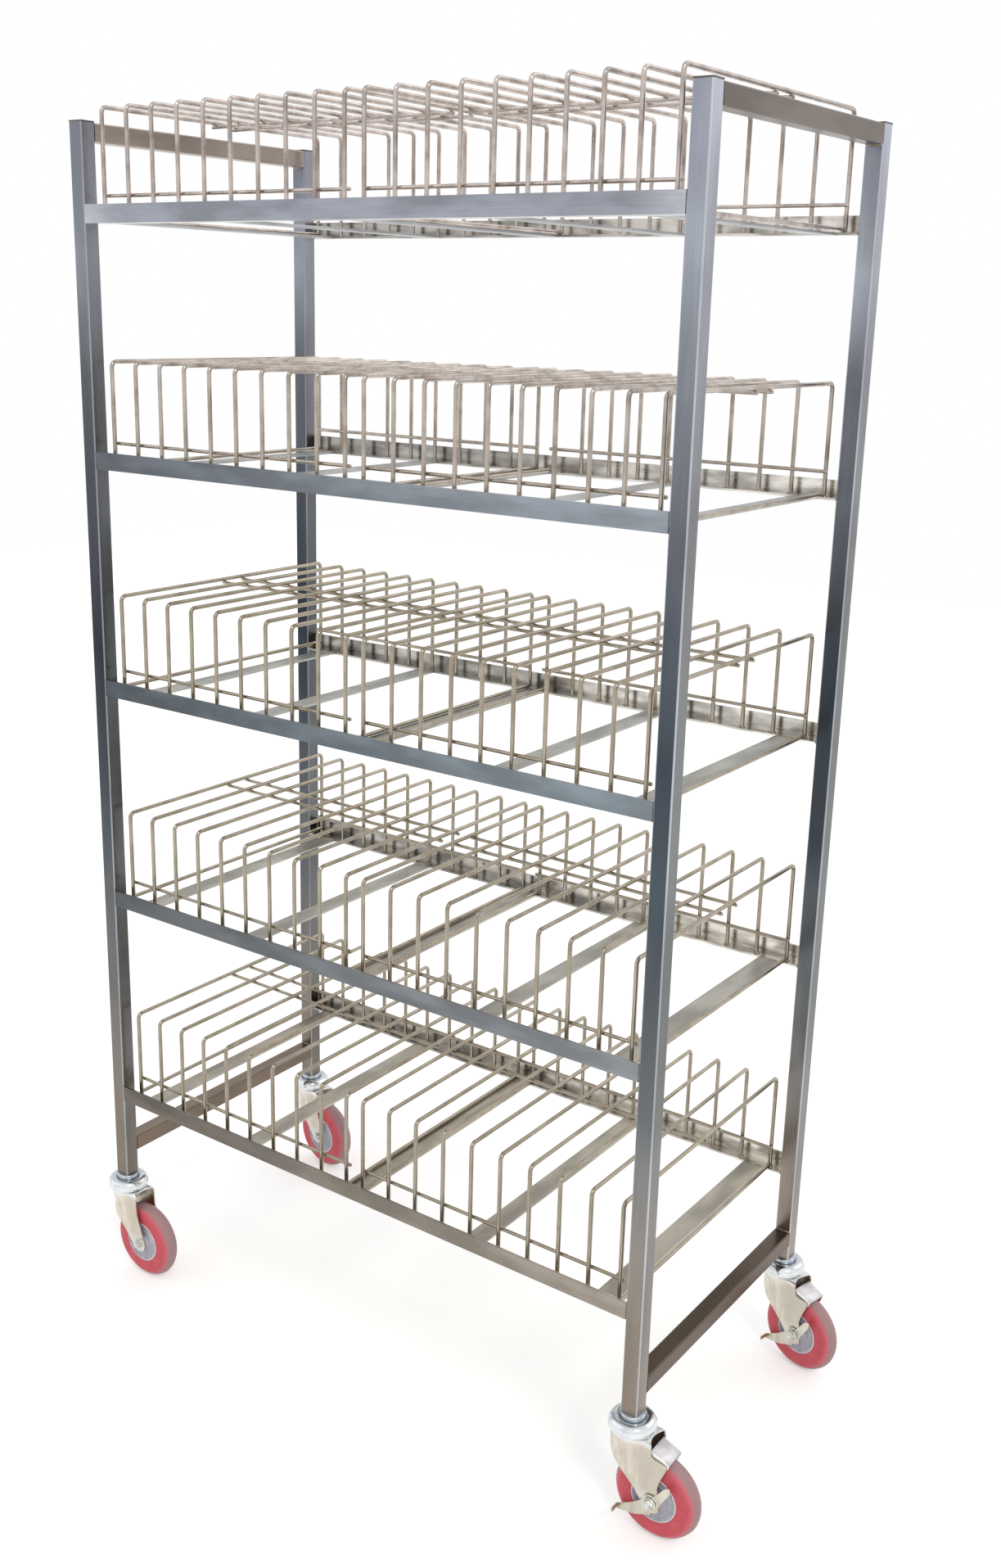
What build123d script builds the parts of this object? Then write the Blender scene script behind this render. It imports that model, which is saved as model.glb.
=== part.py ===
from build123d import *
import os

# A free-standing plate drying rack: four square posts on swivel casters, five shelves of
# bent wire dividers. Millimetres. +Z is up, X runs along the shelves, the front is at -Y.
# The origin is on the floor, midway between the four posts.

# Frame
rack_width = 1000.0           # over the posts
rack_depth = 478.0            # over the posts
rack_height = 1800.0          # floor to the top of the post caps
tube_size = 25.0
tube_wall = 1.5
tube_corner = 2.5
cap_thickness = 2.0
cap_overhang = 0.5
left_end_rail_top = 235.0     # lower end rails, height of the top face
right_end_rail_top = 220.0

# Shelves
shelf_count = 5
top_shelf_drop = 110.0        # cap top to the top edge of the highest rails
lowest_rail_top = 336.0
angle_leg = 25.0
angle_thickness = 3.0
bar_count = 5
bar_pitch = 215.0
bar_width = 30.0

# Dividers
wire = 6.0
wire_bend = 8.0               # centre-line radius
arch_height = 155.0           # rail bottom to the top of the wire
arches_per_module = 10
end_arch_inset = 46.4         # rack end to the first divider
module_gap = 31.4             # between the two middle dividers
front_leg_gap = 13.4          # angle to divider leg, front and back
back_leg_gap = 9.7
rail_wire = 5.0
rail_wire_rise = 12.0         # centre above the rails' top edge
rail_wire_tip = 5.0           # past the end divider
mid_wires = (-4.0, 38.0)      # Y of the pair under the divider tops
tie_lifts = (0.0, 0.0, 9.0, 9.0, 9.0)  # left-hand ties of the lower shelves sit off the angles
weld_gap = 0.3                # wires that lie along another piece

# Casters
wheel_radius = 62.5
tyre_width = 29.2
hub_radius = 33.7
trail = 44.0                  # stem to axle
crown_gap = 20.5              # tyre to the underside of the fork's crown
head_height = 24.0            # crown to the underside of a post
dome_radius = 33.0
dome_height = 17.0
collar_radius = 17.5
collar_height = 12.0
stem_radius = 6.0
plug_height = 25.0
fork_sheet = 2.5
fork_inside = 37.0
crown_radius = 30.0
hood_nose = 32.0              # stem to the front of the hood
hood_flat = 4.0               # the flat cheeks start this far before the stem
hood_end = 40.0               # stem to the open rear edge
bolt_radius = 4.0
sleeve_radius = 6.0
lever_sheet = 2.0
shoe_sheet = 2.0
shoe_pivot_x = 36.0           # from the stem, towards the wheel
shoe_pivot_drop = 19.0        # below the crown's top
shoe_pivot_radius = 2.2

# Fits
swivel_clearance = 0.08       # kingpin in the crown
wheel_clearance = 0.05        # hub on its sleeve
lever_clearance = 0.06        # brake parts on their pins
seat_clearance = 0.05         # plugs, bolts and nuts that are drawn tight
bearing_gap = 0.4
side_gap = 0.6
hub_gap = 1.0

# name: (side, depth, swivel in degrees, has a brake)
casters = {
    "front_left": (-1, -1, -0.5, False),
    "front_right": (1, -1, 1.3, True),
    "back_left": (-1, 1, -8.5, False),
    "back_right": (1, 1, -11.8, True),
}

crown_top = 2 * wheel_radius + crown_gap + fork_sheet
caster_height = crown_top + head_height
shoe_pivot_z = crown_top - shoe_pivot_drop
half_width = rack_width / 2
half_depth = rack_depth / 2
post_x = half_width - tube_size / 2
post_y = half_depth - tube_size / 2
tube_top = rack_height - cap_thickness
between_x = rack_width - 2 * tube_size
between_y = rack_depth - 2 * tube_size
shelf_pitch = (rack_height - top_shelf_drop - lowest_rail_top) / (shelf_count - 1)
module_width = half_width - end_arch_inset - module_gap / 2
arch_pitch = module_width / (arches_per_module - 1)
front_leg_y = -half_depth + angle_thickness + front_leg_gap + wire / 2
back_leg_y = half_depth - angle_thickness - back_leg_gap - wire / 2


def square_tube(length):
    outer = RectangleRounded(tube_size, tube_size, tube_corner)
    bore = tube_size - 2 * tube_wall
    return extrude(outer - RectangleRounded(bore, bore, tube_corner - tube_wall), length)


def rod(start, end, radius):
    line = Vector(*end) - Vector(*start)
    return Solid.make_cylinder(radius, line.length, Plane(origin=start, z_dir=line))


def slab(points, y_low, y_high):
    """Side profile in X and Z, carried from y_low to y_high."""
    face = Plane.XZ * Polygon(*points, align=None)
    return Pos(0, y_high, 0) * extrude(face, y_high - y_low, dir=(0, -1, 0))


def hexagon(across, height):
    return extrude(RegularPolygon(across / 2, 6, major_radius=False), height)


def angle_rail(bottom, front):
    """Upright leg flush with the posts' outer face, the other leg pointing inwards."""
    side = -1 if front else 1
    outer = side * half_depth
    inner = outer - side * angle_thickness
    edge = outer - side * angle_leg
    low = bottom + angle_thickness
    top = bottom + angle_leg
    profile = [(outer, bottom), (edge, bottom), (edge, low), (inner, low), (inner, top), (outer, top)]
    face = Plane.YZ * Polygon(*profile, align=None)
    return Pos(-between_x / 2, 0, 0) * extrude(face, between_x, dir=(1, 0, 0))


def arch_places():
    first = [-half_width + end_arch_inset + arch_pitch * i for i in range(arches_per_module)]
    return first + [-x for x in reversed(first)]


def arch(x, bottom, tie):
    """One bent wire standing on the angles. tie is the height of its closing wire, or None."""
    foot = bottom + angle_thickness
    top = bottom + arch_height - wire / 2
    low = foot if tie is None else tie
    corners = [(x, front_leg_y, foot), (x, front_leg_y, top), (x, back_leg_y, top), (x, back_leg_y, foot)]
    path = FilletPolyline(*corners, radius=wire_bend)
    start = Plane(origin=corners[0], z_dir=(0, 0, 1))
    body = sweep(start * Circle(wire / 2), path=path)
    if tie is not None:
        body += rod((x, front_leg_y, low), (x, back_leg_y, low), wire / 2)
    return body


def shelf_arches(index, bottom):
    ends = (0, arches_per_module - 1, arches_per_module, 2 * arches_per_module - 1)
    resting = bottom + angle_thickness + weld_gap + wire / 2
    wires = []
    for i, x in enumerate(arch_places()):
        tie = resting if i in ends else None
        if i == 0:
            tie = resting + tie_lifts[min(index, len(tie_lifts) - 1)]
        wires.append(arch(x, bottom, tie))
    return wires


def shelf_long_wires(bottom):
    places = arch_places()
    count = arches_per_module
    low = bottom + angle_leg + rail_wire_rise
    touch = wire / 2 + weld_gap + rail_wire / 2
    high = bottom + arch_height - wire / 2 - touch
    lines = [(front_leg_y + touch, low), (back_leg_y - touch, low)]
    lines += [(y, high) for y in mid_wires]
    wires = []
    for module in (places[:count], places[count:]):
        start = module[0] - rail_wire_tip
        end = module[-1] + rail_wire_tip
        for y, z in lines:
            body = rod((start, y, z), (end, y, z), rail_wire / 2)
            wires.append(fillet(body.edges().filter_by(GeomType.CIRCLE), rail_wire * 0.35))
    return wires


def shelf_bars(bottom):
    span = rack_depth - 2 * angle_leg
    offset = (bar_count - 1) / 2
    level = bottom + angle_thickness / 2
    return [Pos((i - offset) * bar_pitch, 0, level) * Box(bar_width, span, angle_thickness)
            for i in range(bar_count)]


def caster_place(name):
    side, depth, turn, brake = casters[name]
    return Pos(side * post_x, depth * post_y, 0) * Rot(0, 0, turn)


def stem():
    """Kingpin, collar and stem in one turned piece."""
    crown_bottom = crown_top - fork_sheet
    pin = stem_radius - swivel_clearance
    head_top = crown_bottom - bearing_gap
    collar_low = caster_height - collar_height
    outline = [
        (0, head_top - 3), (9, head_top - 3), (9, head_top), (pin, head_top), (pin, collar_low),
        (collar_radius, collar_low), (collar_radius, caster_height), (stem_radius, caster_height),
        (stem_radius, caster_height + plug_height - 2), (0, caster_height + plug_height - 2),
    ]
    return revolve(Plane.XZ * Polygon(*outline, align=None), Axis.Z)


def dome():
    """Raceway cover between the collar and the fork."""
    low = crown_top + bearing_gap
    bore = stem_radius
    seat = caster_height - collar_height
    high = low + dome_height
    lip = collar_radius + bearing_gap
    shoulder = dome_radius - 7
    line = Polyline((bore, low), (dome_radius - 2, low), (dome_radius, low + 3), (dome_radius, low + 8))
    crown = ThreePointArc((dome_radius, low + 8), (dome_radius - 2.2, low + 14), (shoulder, high))
    rim = Polyline((shoulder, high), (lip + 2, high - 3), (lip, seat + 1), (lip, seat), (bore, seat), (bore, low))
    return revolve(Plane.XZ * make_face(line + crown + rim), Axis.Z)


def hood_plan(inset):
    """The hood from above: an elliptical nose between two flat cheeks."""
    half = fork_inside / 2 + fork_sheet - inset
    nose = Pos(-hood_flat, 0) * Ellipse(hood_nose - hood_flat - inset, half)
    length = hood_end + hood_flat
    return nose + Pos(length / 2 - hood_flat, 0) * Rectangle(length, 2 * half)


def fork(brake):
    outer = fork_inside / 2 + fork_sheet
    low = wheel_radius - 16
    reach = trail + 20
    hollow = hood_plan(fork_sheet) + Pos(hood_end, 0) * Rectangle(2 * reach, fork_inside)
    cheeks = hood_plan(0) + Pos(reach / 2, 0) * Rectangle(reach, 2 * outer)
    channel = Pos(0, 0, low) * extrude(cheeks - hollow, crown_top - low)
    front = [(-hood_nose, crown_top), (1 - hood_nose, crown_top - 30), (-23, crown_top - 41),
             (-14, crown_top - 52), (-2, wheel_radius + 25), (10, wheel_radius + 16),
             (trail - 24, wheel_radius + 8)]
    boss = [(trail - 15, wheel_radius - 4), (trail - 11, wheel_radius - 11), (trail, wheel_radius - 14),
            (trail + 10, wheel_radius - 9.5), (trail + 14, wheel_radius - 0.5)]
    rear = [(trail + 10, wheel_radius + 12), (trail + 6, wheel_radius + 26), (trail + 1, wheel_radius + 40),
            (hood_end + 1, crown_top - 30), (hood_end, crown_top - 15), (hood_end, crown_top)]
    body = channel & slab(front + boss + rear, -outer, outer)
    plate = Circle(crown_radius) + hood_plan(0)
    body += Pos(0, 0, crown_top - fork_sheet) * extrude(plate, fork_sheet)
    body -= Pos(0, 0, crown_top - 2 * fork_sheet) * Cylinder(stem_radius, 4 * fork_sheet)
    body -= rod((trail, -outer - 1, wheel_radius), (trail, outer + 1, wheel_radius),
                bolt_radius + seat_clearance)
    if brake:
        body -= rod((shoe_pivot_x, -outer - 1, shoe_pivot_z), (shoe_pivot_x, outer + 1, shoe_pivot_z),
                    shoe_pivot_radius + seat_clearance)
    return body


def axle(brake):
    """Bolt, nut and wheel sleeve; a braked fork carries its lever under the nut."""
    outer = fork_inside / 2 + fork_sheet
    seat = outer + (lever_sheet + 2 * side_gap if brake else 0)
    centre = Pos(trail, 0, wheel_radius)
    inside = bolt_radius + seat_clearance
    shank = rod((0, -seat - 8.5, 0), (0, outer, 0), bolt_radius)
    head = Pos(0, outer, 0) * Rot(-90, 0, 0) * hexagon(13, 5.3)
    nut = Pos(0, -seat, 0) * Rot(90, 0, 0) * hexagon(13, 6.5)
    nut -= rod((0, -seat - 10, 0), (0, -seat + 1, 0), inside)
    half = fork_inside / 2
    sleeve = rod((0, -half, 0), (0, half, 0), sleeve_radius) - rod((0, -half, 0), (0, half, 0), inside)
    return [centre * (shank + head), centre * nut, centre * sleeve]


def wheel():
    """Hub and the tyre moulded round it."""
    bore = sleeve_radius + wheel_clearance
    side = fork_inside / 2 - hub_gap
    wide = tyre_width / 2
    half = [(bore, side), (13, side), (14.5, side - 3.5), (27, side - 5), (hub_radius - 2.5, wide),
            (hub_radius, wide), (hub_radius + 2.5, wide - 3.6), (wheel_radius - 16, wide - 5.6)]
    outline = half + [(r, -y) for r, y in reversed(half)]
    axis = Axis((0, 0, 0), (0, 1, 0))
    hub = revolve(Polygon(*outline, align=None), axis)
    low = (hub_radius, -wide)
    high = (hub_radius, wide)
    shoulder = wheel_radius - 14
    tread = ThreePointArc((shoulder, wide), (wheel_radius, 0), (shoulder, -wide))
    sides = Line(high, (shoulder, wide)) + tread + Line((shoulder, -wide), low) + Line(low, high)
    tyre = revolve(make_face(sides), axis) - hub
    centre = Pos(trail, 0, wheel_radius)
    return centre * hub, centre * tyre


def lever():
    """Double-ended brake lever on the axle bolt, its front tip folded out for a foot."""
    face = -fork_inside / 2 - fork_sheet - side_gap
    back = face - lever_sheet
    wing = [(-6, 11), (-38, -12), (-55, -25), (-55, -31), (-39, -29), (-16, -21), (4, -11)]
    arm = [(-4, -11), (16, -4), (31, 23), (29, 33), (22, 32), (2, 11)]
    body = rod((0, back, 0), (0, face, 0), 12) + slab(wing, back, face) + slab(arm, back, face)
    body += slab([(-55, -31), (-55, -25), (-53, -24.2), (-53, -30.5)], back - 11, face)
    body -= rod((0, back - 1, 0), (0, face + 1, 0), bolt_radius + lever_clearance)
    return Pos(trail, 0, wheel_radius) * body


def shoe():
    """Folded plate above the tread, hinged on a pin through both fork sides."""
    half = fork_inside / 2 - side_gap
    top = [(2, 7.5), (29.6, -4), (28.8, -5.9), (1.2, 5.6)]
    cheek = [(0, -4.5), (14, -5.5), (28, -11.5), (29.6, -4), (2, 7.5), (-2.5, 5), (-4.5, 0), (-3, -3.5)]
    body = slab(top, -half, half)
    for low, high in ((-half, -half + shoe_sheet), (half - shoe_sheet, half)):
        body += slab(cheek, low, high)
    body -= rod((0, -half - 1, 0), (0, half + 1, 0), shoe_pivot_radius + lever_clearance)
    return Pos(shoe_pivot_x, 0, shoe_pivot_z) * body


def shoe_pin():
    outer = fork_inside / 2 + fork_sheet
    return rod((shoe_pivot_x, -outer - 0.4, shoe_pivot_z), (shoe_pivot_x, outer + 0.4, shoe_pivot_z),
               shoe_pivot_radius)


nodes = {}

post_length = tube_top - caster_height
for name, (side, depth, turn, brake) in casters.items():
    nodes["post_" + name] = Pos(side * post_x, depth * post_y, caster_height) * square_tube(post_length)

corners = [(side * post_x, depth * post_y) for side, depth, turn, brake in casters.values()]
cap = RectangleRounded(tube_size + 2 * cap_overhang, tube_size + 2 * cap_overhang, tube_corner + cap_overhang)
nodes["post_caps"] = [Pos(x, y, tube_top) * extrude(cap, cap_thickness) for x, y in corners]

plug_size = tube_size - 2 * tube_wall - 2 * seat_clearance
plug = extrude(RectangleRounded(plug_size, plug_size, 1) - Circle(stem_radius + seat_clearance), plug_height)
nodes["stem_sockets"] = [Pos(x, y, caster_height) * plug for x, y in corners]

end_rail = Pos(0, between_y / 2, 0) * Rot(90, 0, 0) * square_tube(between_y)
levels = {
    "top_end_rail_left": (-1, tube_top),
    "top_end_rail_right": (1, tube_top),
    "low_end_rail_left": (-1, left_end_rail_top),
    "low_end_rail_right": (1, right_end_rail_top),
}
for name, (side, top) in levels.items():
    nodes[name] = Pos(side * post_x, 0, top - tube_size / 2) * end_rail

for index in range(shelf_count):
    bottom = rack_height - top_shelf_drop - index * shelf_pitch - angle_leg
    label = f"shelf_{index + 1}_"
    nodes[label + "front_rail"] = angle_rail(bottom, True)
    nodes[label + "back_rail"] = angle_rail(bottom, False)
    nodes[label + "cross_bars"] = shelf_bars(bottom)
    nodes[label + "dividers"] = shelf_arches(index, bottom)
    nodes[label + "long_wires"] = shelf_long_wires(bottom)

nodes["caster_stems"] = [caster_place(name) * stem() for name in casters]
nodes["raceway_covers"] = [caster_place(name) * dome() for name in casters]
for name, (side, depth, turn, brake) in casters.items():
    place = caster_place(name)
    hub, tyre = wheel()
    nodes["fork_" + name] = place * fork(brake)
    nodes["axle_" + name] = [place * piece for piece in axle(brake)]
    nodes["hub_" + name] = place * hub
    nodes["tyre_" + name] = place * tyre
    if brake:
        nodes["brake_lever_" + name] = place * lever()
        nodes["brake_shoe_" + name] = place * shoe()
        nodes["brake_pin_" + name] = place * shoe_pin()

os.makedirs("parts", exist_ok=True)
for name, shape in nodes.items():
    solids = shape if isinstance(shape, list) else [shape]
    solids = [solid for piece in solids for solid in piece.solids()]
    group = solids[0] if len(solids) == 1 else Compound(children=solids)
    export_step(group, os.path.join("parts", name + ".step"))
print(len(nodes), "nodes")
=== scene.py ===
import bpy
import math
from mathutils import Matrix, Vector


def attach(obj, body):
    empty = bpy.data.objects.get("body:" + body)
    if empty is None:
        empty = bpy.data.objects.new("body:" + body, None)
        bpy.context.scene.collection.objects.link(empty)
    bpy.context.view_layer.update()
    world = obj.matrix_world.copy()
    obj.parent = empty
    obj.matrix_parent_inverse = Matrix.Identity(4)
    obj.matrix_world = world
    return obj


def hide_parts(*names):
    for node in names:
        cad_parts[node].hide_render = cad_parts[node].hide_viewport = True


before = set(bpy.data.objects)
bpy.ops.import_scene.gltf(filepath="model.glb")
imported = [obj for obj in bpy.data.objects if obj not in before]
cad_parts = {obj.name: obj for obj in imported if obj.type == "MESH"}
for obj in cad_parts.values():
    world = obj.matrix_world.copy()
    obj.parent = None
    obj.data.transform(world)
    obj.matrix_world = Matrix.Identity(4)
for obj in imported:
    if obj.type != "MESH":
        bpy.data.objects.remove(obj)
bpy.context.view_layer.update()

print("packed rack loaded:", len(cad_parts), "nodes")

scene = bpy.context.scene


# helpers for materials

def linear(hexCode):
    # sRGB hex to the linear colour that the shader wants
    parts = [int(hexCode[i:i + 2], 16) / 255 for i in (1, 3, 5)]
    return [c / 12.92 if c <= 0.04045 else ((c + 0.055) / 1.055) ** 2.4 for c in parts] + [1.0]


def addNode(tree, kind, settings, links):
    # settings are the node's own options, links its sockets: a value, or a socket to join to
    node = tree.nodes.new(kind)
    for name, value in settings.items():
        if name == "stops":
            ramp = node.color_ramp
            while len(ramp.elements) < len(value):
                ramp.elements.new(0.5)
            for element, (place, colour) in zip(ramp.elements, value):
                element.position = place
                element.color = colour
        else:
            setattr(node, name, value)
    for name, value in links.items():
        socket = node.inputs[name]
        if isinstance(value, bpy.types.NodeSocket):
            tree.links.new(value, socket)
        else:
            socket.default_value = value
    return node


def newMaterial(name):
    material = bpy.data.materials.new(name)
    material.use_nodes = True
    material.node_tree.nodes.clear()
    return material, material.node_tree


def toneIn(tree, colour, second, amount, start, end, most=1.0):
    # a second tone comes in smoothly while the amount goes from start to end, up to the share most
    share = addNode(tree, "ShaderNodeMapRange", {"interpolation_type": "SMOOTHSTEP"}, {
        "Value": amount, "From Min": start, "From Max": end, "To Max": most})
    both = addNode(tree, "ShaderNodeMix", {"data_type": "RGBA"}, {
        "Factor": share.outputs["Result"], 6: colour, 7: second})
    return both.outputs[2]


def closeMaterial(tree, colour, polish, relief, settings):
    # polish is a pattern, the two values it runs between and the roughness at each of them;
    # relief is a pattern, how strongly it shows and its depth in millimetres
    pattern, low, high, roughLow, roughHigh = polish
    rough = addNode(tree, "ShaderNodeMapRange", {}, {
        "Value": pattern.outputs["Fac"], "From Min": low, "From Max": high,
        "To Min": roughLow, "To Max": roughHigh})
    pattern, strength, depthMm = relief
    bump = addNode(tree, "ShaderNodeBump", {}, {
        "Height": pattern.outputs["Fac"], "Strength": strength, "Distance": depthMm / 1000})
    shader = addNode(tree, "ShaderNodeBsdfPrincipled", {}, {
        "Base Color": colour, "Roughness": rough.outputs["Result"], "Normal": bump.outputs["Normal"],
        **settings})
    addNode(tree, "ShaderNodeOutputMaterial", {}, {"Surface": shader.outputs["BSDF"]})


# Satin steel of the tubes, angles and flat bars. Tones are (height in metres, colour), a painted reflection
# of the
# room: cool high up, deeper at waist height and warm near the floor. The other tones are
# (colour, where it begins and where it is full in metres, how much of it).
satinFinish = {
    "topHeight": 1.82,
    "halfWidth": 0.475,
    "spread": (1.0, 1.0),       # painted shade and light across the width: factors at the left and right ends
    "brushMm": 1.1,             # real lines are 0.1 mm apart; drawn coarser so that they show
    "brushLengthMm": 90,
    "cloudMm": 120,
    "clouds": (0.80, 1.10),
    "roughness": (0.24, 0.38),
}
postTube = dict(
    satinFinish, spread=(0.74, 1.02),
    axis=(0.4875, 0.2265),                      # a post's own axis, left or right, front or back
    faceTurn=0.001,                             # front tones give way to side tones this near a corner
    corner=("#d3d6dc", 0.0104, 0.0110, 0.6),    # painted highlight along the rounded corners
    # front and back faces take the tones, side faces the sideTones: the lighter side faces are painted light
    tones=[(0.16, "#998d80"), (0.34, "#91887f"), (0.58, "#787b7e"), (0.86, "#4e565e"), (1.06, "#3d454d"),
           (1.28, "#60656d"), (1.46, "#777b83"), (1.62, "#a9afbb"), (1.80, "#989ba8")],
    sideTones=[(0.16, "#91877e"), (0.34, "#827f7b"), (0.58, "#787a7b"), (0.86, "#727779"), (1.06, "#717477"),
               (1.28, "#797b7e"), (1.46, "#8d8f96"), (1.62, "#a6a8b1"), (1.80, "#b6b8c5")])
frontAngle = dict(
    satinFinish, spread=(0.50, 1.30), roughness=(0.20, 0.34), clouds=(0.80, 1.14), cloudMm=60,
    inner=("#cfcbc4", 0.2382, 0.2372, 0.9),     # painted reflection: bright behind the 3 mm wall, on the inner faces
    tones=[(0.30, "#8f877d"), (0.60, "#7b7e82"), (0.95, "#727b82"), (1.30, "#868d95"), (1.64, "#9a9da7")])
# the top angle gets a painted highlight near both ends
topAngle = dict(frontAngle, spread=(1.0, 1.0), endGlow=("#d6d9e0", 0.385, 0.475, 0.7))
# back angles: the light tones and strong patchy clouds are painted reflection on their shiny inner faces
backAngle = dict(
    frontAngle, spread=(0.58, 1.30), clouds=(0.60, 1.18), cloudMm=30, roughness=(0.18, 0.30),
    tones=[(0.30, "#c2beb6"), (0.64, "#c0c2c2"), (0.98, "#b9bfc2"), (1.32, "#c0c5c9"), (1.66, "#c6c8ce")])
endTube = dict(
    satinFinish, spread=(1.45, 0.82), clouds=(0.78, 1.06),
    tones=[(0.19, "#6e5d54"), (0.23, "#695e53"), (0.5, "#8c8076"), (1.70, "#857b74"), (1.80, "#8b817a")])
capSheet = dict(satinFinish, cloudMm=20, tones=[(1.70, "#6f6663"), (1.82, "#6f6663")])
flatBar = dict(
    satinFinish, brushMm=2.2, brushLengthMm=60, cloudMm=55, clouds=(0.74, 1.10), roughness=(0.36, 0.52),
    tones=[(0.30, "#bcb6aa"), (0.65, "#b9b6ae"), (1.0, "#b6b6b1"), (1.33, "#b9bab9"), (1.66, "#bfc0c2")])


def satinStainless(name, along, tone):
    # grade 304 stainless with a linear satin finish: fine lines along the length and a soft stretched
    # highlight, cloudy where the grit wore down, with painted reflection and shade, and a painted highlight
    # along the rounded corners
    material, tree = newMaterial(name)
    fine = 1000 / tone["brushMm"]
    long = 1000 / tone["brushLengthMm"]
    place = addNode(tree, "ShaderNodeTexCoord", {}, {}).outputs["Object"]
    split = addNode(tree, "ShaderNodeSeparateXYZ", {}, {"Vector": place})
    drawn = addNode(tree, "ShaderNodeMapping", {}, {
        "Vector": place, "Scale": [long if axis == along else fine for axis in "XYZ"]})
    brush = addNode(tree, "ShaderNodeTexNoise", {}, {
        "Vector": drawn.outputs["Vector"], "Scale": 1.0, "Detail": 3.0, "Roughness": 0.65})
    patch = addNode(tree, "ShaderNodeMapping", {}, {
        "Vector": place, "Scale": [0.5 if axis == along else 1.6 for axis in "XYZ"]})
    cloud = addNode(tree, "ShaderNodeTexNoise", {}, {
        "Vector": patch.outputs["Vector"], "Scale": 1000 / tone["cloudMm"], "Detail": 3.0, "Roughness": 0.5})
    height = addNode(tree, "ShaderNodeMath", {"operation": "DIVIDE"}, {
        0: split.outputs["Z"], 1: tone["topHeight"]})
    byHeight = []
    for faces in ("tones", "sideTones"):
        stops = [(z / tone["topHeight"], linear(shade)) for z, shade in tone.get(faces, [])]
        if stops:
            ramp = addNode(tree, "ShaderNodeValToRGB", {"stops": stops}, {"Fac": height.outputs["Value"]})
            byHeight.append(ramp.outputs["Color"])
    colour = byHeight[0]
    if "sideTones" in tone:
        # distances from the post's own axis tell front faces, side faces and corners apart
        off = []
        for axis, centre in zip("XY", tone["axis"]):
            out = addNode(tree, "ShaderNodeMath", {"operation": "ABSOLUTE"}, {0: split.outputs[axis]})
            out = addNode(tree, "ShaderNodeMath", {"operation": "SUBTRACT"}, {
                0: out.outputs["Value"], 1: centre})
            out = addNode(tree, "ShaderNodeMath", {"operation": "ABSOLUTE"}, {0: out.outputs["Value"]})
            off.append(out.outputs["Value"])
        apart = addNode(tree, "ShaderNodeMath", {"operation": "SUBTRACT"}, {0: off[0], 1: off[1]})
        nearer = addNode(tree, "ShaderNodeMath", {"operation": "MINIMUM"}, {0: off[0], 1: off[1]})
        # side faces get the painted light of the sideTones, corners a painted highlight
        colour = toneIn(tree, colour, byHeight[1], apart.outputs["Value"],
                        -tone["faceTurn"], tone["faceTurn"])
        shade, start, end, most = tone["corner"]
        colour = toneIn(tree, colour, linear(shade), nearer.outputs["Value"], start, end, most)
    # painted reflection behind the front angles' wall, and a painted highlight near the top angle's ends
    for measure, axis in (("inner", "Y"), ("endGlow", "X")):
        if measure in tone:
            shade, start, end, most = tone[measure]
            out = addNode(tree, "ShaderNodeMath", {"operation": "ABSOLUTE"}, {0: split.outputs[axis]})
            colour = toneIn(tree, colour, linear(shade), out.outputs["Value"], start, end, most)
    # painted shade and light across the width, from the left end to the right end
    lean = addNode(tree, "ShaderNodeMapRange", {}, {
        "Value": split.outputs["X"], "From Min": -tone["halfWidth"], "From Max": tone["halfWidth"],
        "To Min": tone["spread"][0], "To Max": tone["spread"][1]})
    clouds = addNode(tree, "ShaderNodeMapRange", {"interpolation_type": "SMOOTHSTEP"}, {
        "Value": cloud.outputs["Fac"], "From Min": 0.34, "From Max": 0.66,
        "To Min": tone["clouds"][0], "To Max": tone["clouds"][1]})
    lines = addNode(tree, "ShaderNodeMapRange", {}, {
        "Value": brush.outputs["Fac"], "From Min": 0.35, "From Max": 0.65, "To Min": 0.93, "To Max": 1.04})
    level = addNode(tree, "ShaderNodeMath", {"operation": "MULTIPLY"}, {
        0: lean.outputs["Result"], 1: clouds.outputs["Result"]})
    level = addNode(tree, "ShaderNodeMath", {"operation": "MULTIPLY"}, {
        0: level.outputs["Value"], 1: lines.outputs["Result"]})
    shaded = addNode(tree, "ShaderNodeVectorMath", {"operation": "SCALE"}, {
        0: colour, "Scale": level.outputs["Value"]})
    closeMaterial(tree, shaded.outputs["Vector"], (brush, 0.3, 0.7, *tone["roughness"]), (brush, 0.2, 0.2),
                  {"Metallic": 1.0})
    return material


postSteel = satinStainless("satin_stainless_posts", "Z", postTube)
topRailSteel = satinStainless("satin_stainless_top_angle", "X", topAngle)
frontRailSteel = satinStainless("satin_stainless_front_angles", "X", frontAngle)
backRailSteel = satinStainless("bright_stainless_back_angles", "X", backAngle)
endRailSteel = satinStainless("satin_stainless_end_rails", "Y", endTube)
capSteel = satinStainless("ground_stainless_caps", "Y", capSheet)
barSteel = satinStainless("pickled_stainless_flat_bar", "Y", flatBar)

wireFinish = {
    "bright": "#cabfb8",
    "dull": "#8d827a",
    "low": ("#968d78", 1.62, 1.15, 0.7),    # greener and duller on the lower shelves
    "drawMm": 0.9,                          # die lines are far finer; drawn this coarse so that they show
    "drawLengthMm": 45,
    "smudgeMm": 35,
    "roughness": (0.14, 0.34),
}


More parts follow.
